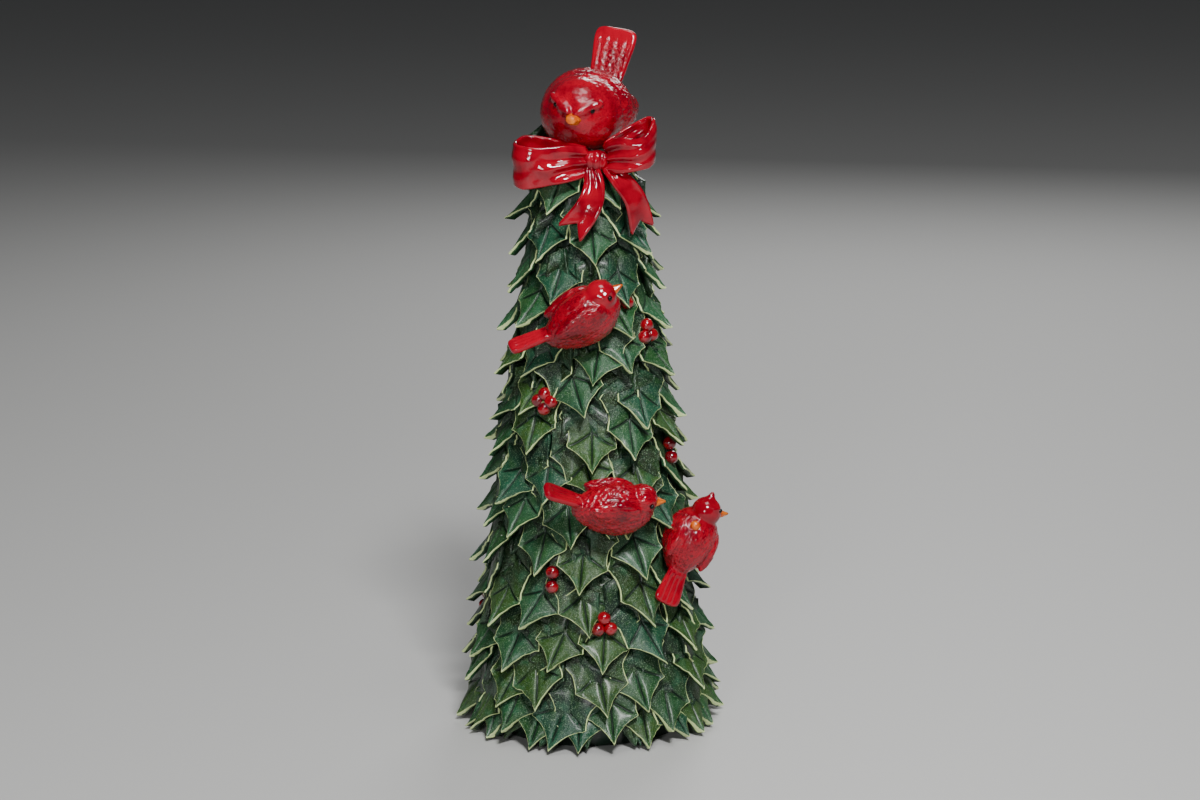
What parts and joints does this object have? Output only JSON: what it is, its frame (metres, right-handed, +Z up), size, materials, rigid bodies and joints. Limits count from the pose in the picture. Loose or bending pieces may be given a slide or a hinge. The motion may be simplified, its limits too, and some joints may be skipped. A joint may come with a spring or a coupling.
{
  "type": "ceramic holly tree figurine",
  "caption": "Tabletop cone of overlapping glazed holly leaves with berry clusters, a ribbon bow near the top and small red cardinals perched on it.",
  "frame": {"origin": "centre of the flat foot, on the surface it stands on", "axes": "+Z up, front with the three perched cardinals towards -Y, +X to the right seen from the front"},
  "size_m": [0.1753, 0.1786, 0.4423],
  "materials": {
    "leaf_glaze": "glazed, pale painted rims",
    "core_glaze": "dark green glaze",
    "berry_glaze": "glossy red glaze",
    "ribbon_glaze": "glossy red glaze",
    "cardinal_glaze": "glossy red glaze over feather relief",
    "beak_glaze": "glossy orange glaze",
    "eye_glaze": "glossy black glaze"
  },
  "bodies": {
    "root": {"foliage_tier_1": "leaf_glaze", "foliage_tier_2": "leaf_glaze", "foliage_tier_3": "leaf_glaze", "foliage_tier_4": "leaf_glaze", "foliage_tier_5": "leaf_glaze", "foliage_tier_6": "leaf_glaze", "foliage_tier_7": "leaf_glaze", "cone_core": "core_glaze", "berries_front_low": "berry_glaze", "berries_front_left": "berry_glaze", "berries_left_high": "berry_glaze", "berries_right_high": "berry_glaze", "berries_right_middle": "berry_glaze", "berries_right_top": "berry_glaze", "berries_side_left": "berry_glaze", "berries_side_right": "berry_glaze", "berries_back_low": "berry_glaze", "berries_back_left": "berry_glaze", "berries_back_right": "berry_glaze", "berries_back_middle": "berry_glaze", "berries_back_top": "berry_glaze", "bow_loop_left": "ribbon_glaze", "bow_loop_right": "ribbon_glaze", "bow_tail_left": "ribbon_glaze", "bow_tail_right": "ribbon_glaze", "bow_knot": "ribbon_glaze", "top_cardinal_body": "cardinal_glaze", "top_cardinal_beak": "beak_glaze", "top_cardinal_eye_left": "eye_glaze", "top_cardinal_eye_right": "eye_glaze", "upper_cardinal_body": "cardinal_glaze", "upper_cardinal_beak": "beak_glaze", "upper_cardinal_eye_left": "eye_glaze", "upper_cardinal_eye_right": "eye_glaze", "middle_cardinal_body": "cardinal_glaze", "middle_cardinal_beak": "beak_glaze", "middle_cardinal_eye_left": "eye_glaze", "middle_cardinal_eye_right": "eye_glaze", "right_cardinal_body": "cardinal_glaze", "right_cardinal_beak": "beak_glaze", "right_cardinal_eye_left": "eye_glaze", "right_cardinal_eye_right": "eye_glaze", "right_cardinal_nape_knob": "beak_glaze"}
  },
  "joints": []
}
